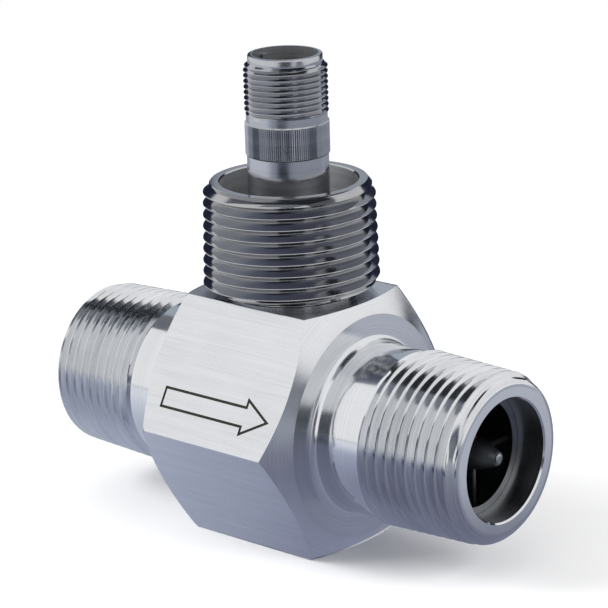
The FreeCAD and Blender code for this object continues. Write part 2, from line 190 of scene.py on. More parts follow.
def count(label, number, least, text):
    """A whole number that the user can change."""
    return IntProperty(name=label, description=text, default=number, min=least)


class FlowBodySizes(bpy.types.PropertyGroup):
    """Sizes of the hexagon body."""

    hexagon_length: length("Hexagon length", 36.0, "Length of the hexagon between its end faces")
    ring_radius: length("Ring radius", 21.5, "Outer radius of the flat ring at each end of the hexagon")
    chamfer: angle("Corner chamfer", 30, "Slope of the turned corners")
    neck_radius: length("Neck radius", 16.3, "Radius of the plain neck")
    neck_fillet: length("Neck fillet", 1.5, "Fillet at the root of the neck")
    edge_bevel: length("Edge bevel", 0.18, "Softening of the hexagon's edges")
    thread_length: length("Thread length", 22.0, "Length of the taper thread on each end")
    metering_bore: length("Metering bore", 11.0, "Radius of the bore round the rotor")
    support_bore: length("Support bore", 11.65, "Radius of the bore round the vaned supports")
    support_shoulder: length("Support shoulder", 14.0, "Distance of the bore's step from the rotor")
    groove_start: length("Groove start", 43.44, "Inner side of the ring groove, from the rotor")
    groove_end: length("Groove end", 44.66, "Outer side of the ring groove, from the rotor")
    groove_radius: length("Groove radius", 12.3, "Radius of the ring groove")
    mouth_bevel: length("Mouth bevel", 0.3, "Bevel at the mouth of the bore")
    spigot_pocket: length("Spigot pocket", 12.04, "Radius of the counterbore for the riser")
    pocket_bevel: length("Pocket bevel", 0.25, "Bevel at the rim of the counterbore")
    spigot_depth: length("Spigot depth", 4.5, "Depth of the counterbore under the top flat")
    pickup_pocket: length("Pickup pocket", 8.0, "Radius of the blind hole for the pickup")
    pickup_depth: length("Pickup depth", 11.8125, "Depth of the blind hole's floor under the top flat")
    steps: count("Steps", 192, 24, "Faces round a full turn")


class FlowThreadSizes(bpy.types.PropertyGroup):
    """Sizes of the threads."""

    pipe_pitch: length("Pipe pitch", 2.2087, "Pitch of the taper pipe thread")
    pipe_depth: length("Pipe depth", 1.72, "Depth of the taper pipe thread")
    pipe_crest: length("Pipe crest", 16.3, "Crest radius at the small end of the taper thread")
    pipe_start: length("Pipe start", 16.9875, "Crest radius at the large end of the taper thread")
    start_chamfer: length("Start chamfer", 0.6, "Length of the chamfer at the large end")
    run_out: length("Run-out", 1.5, "Length over which the roots run out at the neck")
    end_round: length("End round", 2.75, "Radius of the rounded end")
    end_land: length("End land", 14.4, "Radius at which the thread has faded into the rounded end")
    fine_pitch: length("Fine pitch", 1.0583, "Pitch of the pickup's threads")
    fine_depth: length("Fine depth", 0.62, "Depth of the pickup's threads")
    outlet_phase: share("Outlet phase", 0.87, "Turn of the outlet's thread, as a share of the pitch")
    inlet_phase: share("Inlet phase", 0.47, "Turn of the inlet's thread, as a share of the pitch")
    riser_phase: share("Riser phase", 0.4, "Turn of the riser's thread, as a share of the pitch")
    connector_phase: share("Connector phase", 0.66, "Turn of the connector's thread, as a share of the pitch")


class FlowArrowSizes(bpy.types.PropertyGroup):
    """Sizes of the engraved flow arrow."""

    tail: length("Tail", -12.5, "Place of the shaft's end along the flow axis")
    neck: length("Neck", 7.85, "Place of the head's base along the flow axis")
    tip: length("Tip", 14.3, "Place of the tip along the flow axis")
    drop: length("Drop", 6.4, "Distance of the arrow below the flat's middle line")
    half_shaft: length("Half shaft", 2.1, "Half the width of the shaft")
    half_head: length("Half head", 3.75, "Half the width of the head")
    line: length("Line", 0.52, "Width of the engraved line")
    depth: length("Depth", 0.12, "Depth of the engraved line")


class FlowRiserSizes(bpy.types.PropertyGroup):
    """Sizes of the threaded riser."""

    spigot_radius: length("Spigot radius", 12.0, "Radius of the spigot in the body")
    shoulder: length("Shoulder", 1.1, "Height of the shoulder over the top flat")
    hole_radius: length("Hole radius", 8.06, "Radius of the hole for the pickup")
    floor: length("Floor", 2.9, "Thickness of the floor over the shoulder")
    cavity_radius: length("Cavity radius", 13.1, "Radius of the room round the pickup")
    rim_bevel: length("Rim bevel", 0.25, "Bevel inside the rim")
    rim_face: length("Rim face", 14.9, "Outer radius of the flat rim")
    rim_slope: length("Rim slope", 1.7, "Length of the turned slope under the rim")
    bottom_bevel: length("Bottom bevel", 0.5, "Bevel at the foot of the thread")
    foot_radius: length("Foot radius", 16.45, "Radius of the shoulder's lower edge")


class FlowPickupSizes(bpy.types.PropertyGroup):
    """Sizes of the magnetic pickup, as heights over its tip."""

    thread_radius: length("Thread radius", 7.94, "Crest radius of both threads")
    lower_thread: length("Lower thread", 18.9, "Length of the thread in the body")
    shown_thread: length("Shown thread", 5.5, "Length of the lower thread that has modelled teeth")
    plain_radius: length("Plain radius", 7.75, "Radius of the plain part")
    plain_length: length("Plain length", 19.9, "Length of the plain part")
    knurl_radius: length("Knurl radius", 8.0, "Outer radius of the straight knurl")
    knurl_length: length("Knurl length", 6.2, "Length of the straight knurl")
    knurl_depth: length("Knurl depth", 0.2, "Depth of the knurl")
    relief_radius: length("Relief radius", 7.7, "Radius of the relief over the knurl")
    relief_length: length("Relief length", 1.5, "Length of the relief")
    connector_thread: length("Connector thread", 9.7, "Length of the connector's thread")
    thread_chamfer: length("Thread chamfer", 0.7, "Length of the chamfer at the top of the thread")
    rim_radius: length("Rim radius", 7.05, "Radius of the rim")
    rim_bevel: length("Rim bevel", 0.3, "Bevel of the rim's outer edge")
    bevel: length("Bevel", 0.25, "Bevel of the other edges")
    socket_radius: length("Socket radius", 6.25, "Radius of the socket")
    socket_depth: length("Socket depth", 14.0, "Depth of the ledge under the rim")
    ledge_radius: length("Ledge radius", 5.45, "Radius of the ledge under the insert")
    ledge: length("Ledge", 0.8, "Thickness of the ledge")
    coil_bore: length("Coil bore", 6.4, "Radius of the bore round the coil")
    floor: length("Floor", 0.8, "Thickness of the floor at the tip")
    pole_radius: length("Pole radius", 1.6, "Radius of the hole for the pole piece")
    key_height: length("Key height", 0.7, "How far the key stands into the socket")
    key_setback: length("Key setback", 1.0, "Distance of the key from the rim")
    key_foot: length("Key foot", 11.0, "Depth of the key's lower end under the rim")
    key_angle: angle("Key angle", 172, "Place of the key round the socket")
    key_faces: count("Key faces", 9, 2, "Faces of the socket that the key takes")
    steps: count("Steps", 240, 64, "Faces round a full turn, two to each knurl tooth")


class FlowFinishes(bpy.types.PropertyGroup):
    """Colours of the pieces."""

    body: colour("Body", (0.8, 0.815, 0.84), "Turned and brushed steel of the body")
    riser: colour("Riser", (0.5, 0.505, 0.52), "Turned steel of the riser")
    # Lighter than the riser's steel: painted light from above inside the cavity.
    cavity_painted_light: colour("Cavity", (0.6, 0.61, 0.63), "Bored steel inside the riser")
    # Darker than the pickup's steel: painted shade inside the connector's socket.
    socket: colour("Socket", (0.34, 0.35, 0.37), "Bored steel inside the connector")
    pickup: colour("Pickup", (0.52, 0.53, 0.56), "Turned steel of the pickup")
    # Darker than the supports' steel: painted shade deep inside the bore.
    inner: colour("Supports", (0.14, 0.15, 0.155), "Dull steel of the supports")
    spring: colour("Rings", (0.32, 0.33, 0.34), "Spring steel of the retaining rings")
    rotor: colour("Rotor", (0.5, 0.5, 0.52), "Magnetic steel of the rotor")
    carbide: colour("Carbide", (0.42, 0.42, 0.43), "Ground carbide of bearings, pins and shaft")
    mark: colour("Arrow", (0.06, 0.06, 0.05), "Engraved line of the flow arrow")
    insert: colour("Insert", (0.03, 0.03, 0.035), "Moulded insert of the connector")
    gold: colour("Contacts", (0.85, 0.62, 0.26), "Gold plating of the contacts")
    iron: colour("Pole", (0.3, 0.3, 0.31), "Soft iron of the pole piece")
    nickel: colour("Magnet", (0.6, 0.59, 0.57), "Nickel plating of the magnet")
    bobbin: colour("Bobbin", (0.8, 0.77, 0.68), "Moulded bobbin")
    copper: colour("Copper", (0.72, 0.36, 0.2), "Enamelled wire")
    resin: colour("Resin", (0.03, 0.03, 0.033), "Potting resin")


class FlowStudio(bpy.types.PropertyGroup):
    """Camera, even light and floor."""

    azimuth: angle("Azimuth", 41.367, "Camera's place round the object")
    elevation: angle("Elevation", 17.056, "Camera's height angle")
    roll: angle("Roll", -1.772, "Camera's roll")
    distance: length("Distance", 536.5, "Distance of the camera from its target")
    target: FloatVectorProperty(
        name="Target", description="Point that the camera looks at", default=(0.002844, 0.0, 0.045162),
        subtype="TRANSLATION", size=3
    )
    lens: FloatProperty(
        name="Lens", description="Focal length on a 36 mm sensor", default=166.7, subtype="DISTANCE_CAMERA"
    )
    fill: FloatProperty(name="Fill", description="Strength of the even light", default=0.75, min=0.0)
    floor: colour("Floor", (0.9, 0.9, 0.9), "Pale floor")


# Shapes


def on_flow_axis():
    """Places a form made about +Z on the flow axis, along +X."""
    return Matrix.Translation((0, 0, BODY_BOX[1].z / 2)) @ Matrix.Rotation(math.radians(90), 4, "Y")


def between(pairs, along):
    """The radius at a place on a profile of (along, radius) pairs."""
    if along <= pairs[0][0]:
        return pairs[0][1]
    for (start, low), (end, high) in zip(pairs, pairs[1:]):
        if along <= end:
            return low + (high - low) * (along - start) / (end - start)
    return pairs[-1][1]


def rounded(centre, radius, first, last, parts):
    """(along, radius) pairs on an arc, at angles in degrees from the axis direction."""
    turns = [math.radians(first + (last - first) * index / parts) for index in range(parts + 1)]
    return [(centre[0] + radius * math.cos(turn), centre[1] + radius * math.sin(turn)) for turn in turns]


def mirrored(pairs):
    """The profile reversed on the other side of the rotor."""
    return [(-along, radius) for along, radius in reversed(pairs)]


def spun(pairs, steps, finish, climb=0.0):
    """A profile spun a full turn about Z, climbing along it: an eighth by the operator, then its copies."""
    sector = bmesh.new()
    points = [sector.verts.new((radius, 0, along)) for along, radius in pairs]
    lines = [sector.edges.new(pair) for pair in zip(points, points[1:])]
    bmesh.ops.spin(
        sector, geom=points + lines, cent=(0, 0, 0), axis=(0, 0, 1), dvec=(0, 0, climb / steps),
        angle=math.tau / SECTORS, steps=steps // SECTORS,
    )
    for face in sector.faces:
        face.material_index = finish
    mesh = bpy.data.meshes.new("sector")
    sector.to_mesh(mesh)
    sector.free()
    form = bmesh.new()
    onward = Matrix.Translation((0, 0, climb / SECTORS)) @ Matrix.Rotation(math.tau / SECTORS, 4, "Z")
    for _ in range(SECTORS):
        form.from_mesh(mesh)
        mesh.transform(onward)
    bpy.data.meshes.remove(mesh)
    bmesh.ops.remove_doubles(form, verts=form.verts, dist=WELD)
    return form


def added(bm, form, matrix=Matrix.Identity(4)):
    """Puts a form into another one."""
    mesh = bpy.data.meshes.new("form")
    form.to_mesh(mesh)
    form.free()
    mesh.transform(matrix)
    bm.from_mesh(mesh)
    bpy.data.meshes.remove(mesh)


def threaded(steps, finish, tooth, pitch, depth, phase, crest, upper, lower):
    """A helical thread that fades into plain rings where its upper and lower limits meet."""
    start, end = upper[0][0], upper[-1][0]
    turns = math.ceil((end - start) / pitch) + math.ceil(SPARE_TURNS)
    whole = [(-part, drop) for part, drop in reversed(tooth[1:])] + list(tooth[:-1])
    base = start - (SPARE_TURNS - phase) * pitch
    reach = crest[0][1]
    profile = []
    for turn in range(turns + 1):
        profile += [(base + (turn + part) * pitch, reach - drop * depth) for part, drop in whole]
    form = spun(profile, steps, finish, climb=pitch)
    for vert in form.verts:
        distance = math.hypot(vert.co.x, vert.co.y)
        along = min(max(vert.co.z, start), end)
        radius = between(crest, along) - (reach - distance)
        radius = min(max(radius, between(lower, along)), between(upper, along))
        vert.co = (vert.co.x * radius / distance, vert.co.y * radius / distance, along)
    bmesh.ops.remove_doubles(form, verts=form.verts, dist=WELD)
    return form


def refilled(bm, face, holes):
    """Fills a flat again round the edges of the openings in it, in metres for the filling's limits."""
    outer, normal, finish = list(face.edges), face.normal.copy(), face.material_index
    bmesh.ops.delete(bm, geom=[face], context="FACES_ONLY")
    rims = list({vert for edge in outer + holes for vert in edge.verts})
    bmesh.ops.scale(bm, verts=rims, vec=Vector((1, 1, 1)) / MM)
    filling = bmesh.ops.triangle_fill(bm, edges=outer + holes, use_beauty=True, normal=normal)
    bmesh.ops.scale(bm, verts=rims, vec=Vector((1, 1, 1)) * MM)
    for piece in filling["geom"]:
        if isinstance(piece, bmesh.types.BMFace):
            piece.material_index = finish


def placed(name, data):
    """A new object in the scene."""
    piece = bpy.data.objects.new(name, data)
    bpy.context.scene.collection.objects.link(piece)
    return piece


def placed_form(name, bm, materials):
    """A new object in the scene, with the form as its mesh."""
    mesh = bpy.data.meshes.new(name)
    bm.to_mesh(mesh)
    bm.free()
    for material in materials:
        mesh.materials.append(material)
    return placed(name, mesh)


def finished(name, bm, materials, node, flat_finish=-1, sharp=27.0):
    """Welds the form, turns its faces outwards and puts it in the frame in place of the node."""
    bmesh.ops.remove_doubles(bm, verts=bm.verts, dist=WELD)
    bmesh.ops.recalc_face_normals(bm, faces=bm.faces)
    for face in bm.faces:
        face.smooth = face.material_index != flat_finish
    piece = placed_form(name, bm, materials)
    piece.data.set_sharp_from_angle(angle=math.radians(sharp))
    weighted = piece.modifiers.new("weighted", "WEIGHTED_NORMAL")
    weighted.keep_sharp = True
    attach(piece, frame["nodes"][node]["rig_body"])
    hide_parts(node)


def smoothed_copy(node, material, sharp=32.0):
    """Puts a welded and smoothly shaded copy in place of a node."""
    bm = bmesh.new()
    bm.from_mesh(frame["nodes"][node].data)
    for face in bm.faces:
        face.material_index = 0
    finished(f"{node}_form", bm, [material], node, sharp=sharp)


def dressed(node, material):
    """Gives a node its material."""
    slots = frame["nodes"][node].data.materials
    slots.clear()
    slots.append(material)


# Materials

# Sockets that the groups have in common.
MARKS_GIVEN = [("Vector", "NodeSocketVector", None), ("Density", "NodeSocketFloat", 2500.0)]
MARKS_MADE = [("Lines", "NodeSocketFloat"), ("Bands", "NodeSocketFloat")]
TONE_MADE = [("Colour", "NodeSocketColor"), ("Roughness", "NodeSocketFloat"), ("Height", "NodeSocketFloat")]


def new_group(name, inputs, outputs):
    """An empty shader node group with its named sockets."""
    group = bpy.data.node_groups.new(name, "ShaderNodeTree")
    for label, kind, value in inputs:
        socket = group.interface.new_socket(name=label, in_out="INPUT", socket_type=kind)
        if value is not None:
            socket.default_value = value
    for label, kind in outputs:
        group.interface.new_socket(name=label, in_out="OUTPUT", socket_type=kind)
    return group, group.nodes.new("NodeGroupInput"), group.nodes.new("NodeGroupOutput")


def fed(tree, node, values):
    """The node, with sockets linked to its inputs or values stored in them."""
    for label, value in values.items():
        if isinstance(value, bpy.types.NodeSocket):
            tree.links.new(value, node.inputs[label])
        else:
            node.inputs[label].default_value = value
    return node


def math_node(tree, operation, *values):
    """A Math node whose inputs are sockets or numbers."""
    node = tree.nodes.new("ShaderNodeMath")
    node.operation = operation
    return fed(tree, node, dict(enumerate(values))).outputs[0]


def weighted_sum(tree, *terms):
    """The sum of values, each times its weight."""
    total = math_node(tree, "MULTIPLY", *terms[0])
    for value, weight in terms[1:]:
        total = math_node(tree, "ADD", total, math_node(tree, "MULTIPLY", value, weight))
    return total


def noise_node(tree, vector, scale, detail, roughness=0.5):
    """A noise over the vector."""
    node = tree.nodes.new("ShaderNodeTexNoise")
    fed(tree, node, {"Vector": vector, "Scale": scale, "Detail": detail, "Roughness": roughness})
    return node.outputs["Fac"]


def range_node(tree, value, low, high, to_low=0.0, to_high=1.0):
    """A clamped change of range."""
    node = tree.nodes.new("ShaderNodeMapRange")
    fed(tree, node, {
        "Value": value, "From Min": low, "From Max": high, "To Min": to_low, "To Max": to_high,
    })
    return node.outputs["Result"]


def distance_node(tree, first, second):
    """The distance from zero that two coordinates give."""
    squares = [math_node(tree, "POWER", coordinate, 2.0) for coordinate in (first, second)]
    return math_node(tree, "SQRT", math_node(tree, "ADD", *squares))


def scaled_colour(tree, tint, gain):
    """A colour made lighter or darker."""
    node = tree.nodes.new("ShaderNodeVectorMath")
    node.operation = "SCALE"
    return fed(tree, node, {0: tint, "Scale": gain}).outputs[0]


def turning_marks_group():
    """Lines that run round the X axis, as a lathe leaves them."""
    tree, given, made = new_group("turning_marks", MARKS_GIVEN, MARKS_MADE)
    parts = fed(tree, tree.nodes.new("ShaderNodeSeparateXYZ"), {0: given.outputs["Vector"]})
    radius = distance_node(tree, parts.outputs["Y"], parts.outputs["Z"])
    polar = fed(tree, tree.nodes.new("ShaderNodeCombineXYZ"), {"X": parts.outputs["X"], "Y": radius})
    for label, share_of_density, detail, roughness in (("Lines", 1.0, 3.0, 0.65), ("Bands", 0.16, 2.0, 0.5)):
        scale = math_node(tree, "MULTIPLY", given.outputs["Density"], share_of_density)
        grooves = noise_node(tree, polar.outputs[0], scale, detail, roughness)
        tree.links.new(range_node(tree, grooves, low=0.3, high=0.7), made.inputs[label])
    return tree


def brushing_marks_group():
    """Streaks along the X axis, as a belt leaves them on a flat."""
    tree, given, made = new_group("brushing_marks", MARKS_GIVEN, MARKS_MADE)
    for label, share_of_density, stretch, detail in (("Lines", 1.0, 0.016, 4.0), ("Bands", 0.22, 0.06, 2.0)):
        drawn = tree.nodes.new("ShaderNodeVectorMath")
        drawn.operation = "MULTIPLY"
        fed(tree, drawn, {0: given.outputs["Vector"], 1: (stretch, 1.0, 1.0)})
        scale = math_node(tree, "MULTIPLY", given.outputs["Density"], share_of_density)
        grain = noise_node(tree, drawn.outputs[0], scale, detail, roughness=0.6)
        tree.links.new(range_node(tree, grain, low=0.3, high=0.7), made.inputs[label])
    return tree


def metal_tone_group():
    """Tone, roughness and height of a worked metal from its marks and handling."""
    tree, given, made = new_group(
        "metal_tone",
        [("Vector", "NodeSocketVector", None), ("Lines", "NodeSocketFloat", 0.5),
         ("Bands", "NodeSocketFloat", 0.5), ("Colour", "NodeSocketColor", (0.6, 0.6, 0.6, 1.0)),
         ("Contrast", "NodeSocketFloat", 0.2), ("Smoothest", "NodeSocketFloat", 0.2),
         ("Roughest", "NodeSocketFloat", 0.35)],
        TONE_MADE,
    )
    clouds = noise_node(tree, given.outputs["Vector"], scale=140.0, detail=3.0)
    clouds = range_node(tree, clouds, low=0.35, high=0.65)
    specks = noise_node(tree, given.outputs["Vector"], scale=1500.0, detail=2.0)
    specks = range_node(tree, specks, low=0.6, high=0.75)
    lines, bands = given.outputs["Lines"], given.outputs["Bands"]
    marks = weighted_sum(tree, (lines, LINES_IN_MARKS), (bands, BANDS_IN_MARKS))
    tone = weighted_sum(tree, (marks, 1.0), (clouds, CLOUDS_IN_TONE), (specks, -SPECKS_IN_TONE))
    drop = math_node(tree, "MULTIPLY", math_node(tree, "SUBTRACT", 1.0, tone), given.outputs["Contrast"])
    gain = math_node(tree, "SUBTRACT", 1.0, drop)
    tree.links.new(scaled_colour(tree, given.outputs["Colour"], gain), made.inputs["Colour"])
    wear = weighted_sum(tree, (clouds, CLOUDS_IN_WEAR), (marks, MARKS_IN_WEAR))
    rough = range_node(tree, wear, 0.0, 1.0, given.outputs["Smoothest"], given.outputs["Roughest"])
    tree.links.new(rough, made.inputs["Roughness"])
    height = weighted_sum(tree, (marks, 1.0), (specks, -SPECKS_IN_HEIGHT))
    tree.links.new(height, made.inputs["Height"])
    return tree


def moulded_tone_group():
    """Tone, roughness and height of a cast or moulded surface."""
    tree, given, made = new_group(
        "moulded_tone",
        [("Vector", "NodeSocketVector", None), ("Colour", "NodeSocketColor", (0.1, 0.1, 0.1, 1.0)),
         ("Contrast", "NodeSocketFloat", 0.3), ("Smoothest", "NodeSocketFloat", 0.35),
         ("Roughest", "NodeSocketFloat", 0.55)],
        TONE_MADE,
    )
    clouds = noise_node(tree, given.outputs["Vector"], scale=400.0, detail=4.0)
    clouds = range_node(tree, clouds, low=0.3, high=0.7)
    grain = noise_node(tree, given.outputs["Vector"], scale=6000.0, detail=2.0)
    grain = range_node(tree, grain, low=0.3, high=0.7)
    gain = math_node(tree, "SUBTRACT", 1.0, math_node(tree, "MULTIPLY", clouds, given.outputs["Contrast"]))
    tree.links.new(scaled_colour(tree, given.outputs["Colour"], gain), made.inputs["Colour"])
    rough = range_node(tree, clouds, 0.0, 1.0, given.outputs["Smoothest"], given.outputs["Roughest"])
    tree.links.new(rough, made.inputs["Roughness"])
    tree.links.new(grain, made.inputs["Height"])
    return tree


SHADER_GROUPS = {
    "turning_marks": turning_marks_group,
    "brushing_marks": brushing_marks_group,
    "metal_tone": metal_tone_group,
    "moulded_tone": moulded_tone_group,
}


def placed_group(tree, name):
    """A node that holds the shared group, which is built the first time it is asked for."""
    node = tree.nodes.new("ShaderNodeGroup")
    node.node_tree = bpy.data.node_groups.get(name) or SHADER_GROUPS[name]()
    return node


def new_material(name):
    """A material and its node tree."""
    material = bpy.data.materials.new(name)
    material.use_nodes = True
    return material, material.node_tree


def coordinates(tree):
    """The place on the piece, in its own frame."""
    return tree.nodes.new("ShaderNodeTexCoord").outputs["Object"]


def material_base(name, turn, centre):
    """A material with its shader and the mapped coordinates of the piece."""
    material, tree = new_material(name)
    mapping = tree.nodes.new("ShaderNodeMapping")
    mapping.vector_type = "TEXTURE"
    fed(tree, mapping, {"Vector": coordinates(tree), "Location": centre, "Rotation": turn})
    return material, tree, tree.nodes["Principled BSDF"], mapping.outputs[0]


def toned(tree, group, vector, value, contrast, smoothest, roughest):
    """A tone group with a material's own values."""
    return fed(tree, placed_group(tree, group), {
        "Vector": vector, "Colour": (*value, 1.0), "Contrast": contrast,
        "Smoothest": smoothest, "Roughest": roughest,
    })


def joined(tree, tone, shader, bump):
    """Feeds colour, roughness and bump to the shader."""
    tree.links.new(tone.outputs["Colour"], shader.inputs["Base Color"])
    tree.links.new(tone.outputs["Roughness"], shader.inputs["Roughness"])
    relief = tree.nodes.new("ShaderNodeBump")
    fed(tree, relief, {"Strength": 1.0, "Distance": bump, "Height": tone.outputs["Height"]})
    tree.links.new(relief.outputs[0], shader.inputs["Normal"])


def metal(name, value, marks="turning_marks", upright=False, density=2500.0, contrast=0.2,
          smoothest=0.06, roughest=0.15, bump=0.0000008, stretch=0.6, metallic=1.0):
    """Worked metal with marks along or round the flow axis, or round the upright axis."""
    turn = (0.0, math.radians(90), 0.0) if upright else (0.0, 0.0, 0.0)
    centre = (0.0, 0.0, 0.0) if upright else (0.0, 0.0, BODY_BOX[1].z / 2)
    material, tree, shader, vector = material_base(name, turn, centre)
    shader.inputs["Metallic"].default_value = metallic
    grooves = fed(tree, placed_group(tree, marks), {"Vector": vector, "Density": density}).outputs
    tone = toned(tree, "metal_tone", vector, value, contrast, smoothest, roughest)
    fed(tree, tone, {"Lines": grooves["Lines"], "Bands": grooves["Bands"]})
    joined(tree, tone, shader, bump)
    if stretch:
        tangent = tree.nodes.new("ShaderNodeTangent")
        tangent.direction_type = "RADIAL"
        tangent.axis = "Z" if upright else "X"
        tree.links.new(tangent.outputs[0], shader.inputs["Tangent"])
        shader.inputs["Anisotropic"].default_value = stretch
        rotation = 0.0 if marks == "turning_marks" else BRUSHED_TURN
        shader.inputs["Anisotropic Rotation"].default_value = rotation
    return material


def moulded(name, value, contrast=0.3, smoothest=0.35, roughest=0.55, bump=0.000004, coat=0.0):
    """A moulded or cast surface."""
    material, tree, shader, vector = material_base(name, (0.0, 0.0, 0.0), (0.0, 0.0, 0.0))
    shader.inputs["Coat Weight"].default_value = coat
    tone = toned(tree, "moulded_tone", vector, value, contrast, smoothest, roughest)
    joined(tree, tone, shader, bump)
    return material


# Pieces


def body_outside(sizes):
    """The outer profile from one thread's start to the other's."""
    half = sizes.hexagon_length / 2
    corner = BODY_BOX[1].z / math.sqrt(3) + sizes.neck_fillet
    setback = (corner - sizes.ring_radius) * math.tan(sizes.chamfer)
    thread_start = BODY_BOX[1].x - sizes.thread_length
    fillet_centre = (half + sizes.neck_fillet, sizes.neck_radius + sizes.neck_fillet)
    downstream = [(half - setback, corner), (half, sizes.ring_radius)]
    downstream += rounded(fillet_centre, sizes.neck_fillet, 180, 270, FILLET_PARTS)
    downstream.append((thread_start, sizes.neck_radius))
    return mirrored(downstream) + downstream


def end_arc(threads):
    """The centre of a rounded end, and the angle at which the thread has faded into it."""
    centre = (BODY_BOX[1].x - threads.end_round, threads.pipe_crest - threads.end_round)
    return centre, math.degrees(math.asin((threads.end_land - centre[1]) / threads.end_round))


def body_inside(sizes, threads):
    """The profile of the ends and the bores, from one faded thread end to the other."""
    end = BODY_BOX[1].x
    centre, fade = end_arc(threads)
    downstream = [
        (sizes.support_shoulder, sizes.metering_bore),
        (sizes.support_shoulder, sizes.support_bore),
        (sizes.groove_start, sizes.support_bore),
        (sizes.groove_start, sizes.groove_radius),
        (sizes.groove_end, sizes.groove_radius),
        (sizes.groove_end, sizes.support_bore),
        (end - sizes.mouth_bevel, sizes.support_bore),
        (end, sizes.support_bore + sizes.mouth_bevel),
    ]
    downstream += rounded(centre, threads.end_round, 0, fade, END_PARTS)
    return mirrored(downstream) + downstream


def body_thread(sizes, threads, phase):
    """The taper thread of the downstream end."""
    start = BODY_BOX[1].x - sizes.thread_length
    centre, fade = end_arc(threads)
    round_end = rounded(centre, threads.end_round, 90, fade, THREAD_END_PARTS)
    crest = [(start + threads.start_chamfer, threads.pipe_start), round_end[0]]
    upper = [(start, sizes.neck_radius)] + crest[:1] + round_end
    root = threads.end_land - BODY_ROOT_ROOM
    lower = [
        (start, sizes.neck_radius),
        (start + threads.run_out, root),
        (round_end[-1][0] - BODY_LEAD, root),
        round_end[-1],
    ]
    return threaded(sizes.steps, THREADED, TAPER_TOOTH, threads.pipe_pitch, threads.pipe_depth,
                    phase, crest, upper, lower)


def cut_to_hexagon(bm, sizes):
    """Cuts the turned bar to six flats, fills them and softens their edges."""
    centre = Vector((0, 0, BODY_BOX[1].z / 2))
    turns = [math.radians(30 + 60 * index) for index in range(6)]
    normals = [Vector((0, math.cos(turn), math.sin(turn))) for turn in turns]
    for normal in normals:
        cut = bmesh.ops.bisect_plane(
            bm, geom=bm.verts[:] + bm.edges[:] + bm.faces[:], dist=CUT_TOLERANCE,
            plane_co=centre + normal * centre.z, plane_no=normal, clear_outer=True,
        )
        rim = [piece for piece in cut["geom_cut"] if isinstance(piece, bmesh.types.BMEdge)]
        flat = bmesh.ops.contextual_create(bm, geom=rim)
        for face in flat["faces"]:
            face.material_index = BRUSHED
            face.normal_update()
            if face.normal.dot(normal) < 0:
                face.normal_flip()
    edges = [edge for edge in bm.edges if any(face.material_index == BRUSHED for face in edge.link_faces)]
    bmesh.ops.bevel(
        bm, geom=edges, offset=sizes.edge_bevel, offset_type="OFFSET", segments=2, profile=0.5,
        affect="EDGES", material=TURNED, clamp_overlap=False,
    )
    draw_back_corners(bm, centre, normals)
    bm.normal_update()


def draw_back_corners(bm, centre, normals):
    """Draws back the points where three bevels meet and overshoot the flats a little."""
    for vertex in bm.verts:
        for normal in normals:
            excess = (vertex.co - centre).dot(normal) - centre.z
            if excess > 0:
                vertex.co -= normal * excess


def flat_pieces(bm, direction):
    """The pieces of the flat that faces a direction."""
    flats = [face for face in bm.faces if face.material_index == BRUSHED]
    return [face for face in flats if face.normal.dot(direction) > SAME_WAY]


def riser_pocket(bm, sizes):
    """The counterbore and the pickup's blind hole in the top flat."""
    top = BODY_BOX[1].z
    seat = top - sizes.spigot_depth
    floor = top - sizes.pickup_depth
    added(bm, spun([
        (top, sizes.spigot_pocket + sizes.pocket_bevel),
        (top - sizes.pocket_bevel, sizes.spigot_pocket),
        (seat, sizes.spigot_pocket),
        (seat, sizes.pickup_pocket),
        (floor, sizes.pickup_pocket),
        (floor, 0.0),
    ], sizes.steps, BORED))
    reach = sizes.spigot_pocket + sizes.pocket_bevel + WELD
    mouth = {vert for vert in bm.verts if vert.co.z > top - WELD and vert.co.xy.length < reach}
    rim = [edge for edge in bm.edges if edge.is_boundary and mouth.issuperset(edge.verts)]
    refilled(bm, flat_pieces(bm, Vector((0, 0, 1)))[0], rim)


def flow_arrow(bm, arrow):
    """The flow arrow's outline on the front upper flat, cut along both of its sides and sunk."""
    tilt = math.radians(30)
    normal = Vector((0, -math.cos(tilt), math.sin(tilt)))
    across = Vector((0, math.sin(tilt), math.cos(tilt)))
    middle = Vector((0, 0, BODY_BOX[1].z / 2)) + normal * BODY_BOX[1].z / 2 - across * arrow.drop
    corners = [Vector(corner) for corner in (
        (arrow.tail, -arrow.half_shaft), (arrow.neck, -arrow.half_shaft), (arrow.neck, -arrow.half_head),
        (arrow.tip, 0.0), (arrow.neck, arrow.half_head), (arrow.neck, arrow.half_shaft),
        (arrow.tail, arrow.half_shaft),
    )]
    sides = list(zip(corners, corners[1:] + corners[:1]))
    for start, end in sides:
        inward = (end - start).orthogonal().normalized()
        for shift in (0.0, arrow.line):
            point = start + inward * shift
            pieces = flat_pieces(bm, normal)
            bounds = {part for face in pieces for part in (*face.verts, *face.edges)}
            bmesh.ops.bisect_plane(
                bm, geom=[*pieces, *bounds], dist=CUT_TOLERANCE,
                plane_co=middle + Vector((point.x, 0, 0)) + across * point.y,
                plane_no=Vector((inward.x, 0, 0)) + across * inward.y,
            )
    line = []
    for face in flat_pieces(bm, normal):
        centre = face.calc_center_median() - middle
        spot = Vector((centre.x, centre.dot(across)))
        inside = geometry.intersect_point_tri_2d(spot, corners[2], corners[3], corners[4]) or (
            arrow.tail < spot.x < arrow.neck + arrow.line and abs(spot.y) < arrow.half_shaft
        )
        if inside and min(distance_to(spot, *side) for side in sides) < arrow.line:
            face.material_index = MARKED
            line.append(face)
    walls = bmesh.ops.inset_region(
        bm, faces=line, thickness=arrow.line / WALL_PARTS, depth=-arrow.depth,
        use_even_offset=True, use_boundary=True,
    )
    for face in walls["faces"]:
        face.material_index = MARKED


def distance_to(spot, start, end):
    """The distance from a spot to a line between two points."""
    part = geometry.intersect_point_line(spot, start, end)[1]
    return (spot - start.lerp(end, min(max(part, 0.0), 1.0))).length


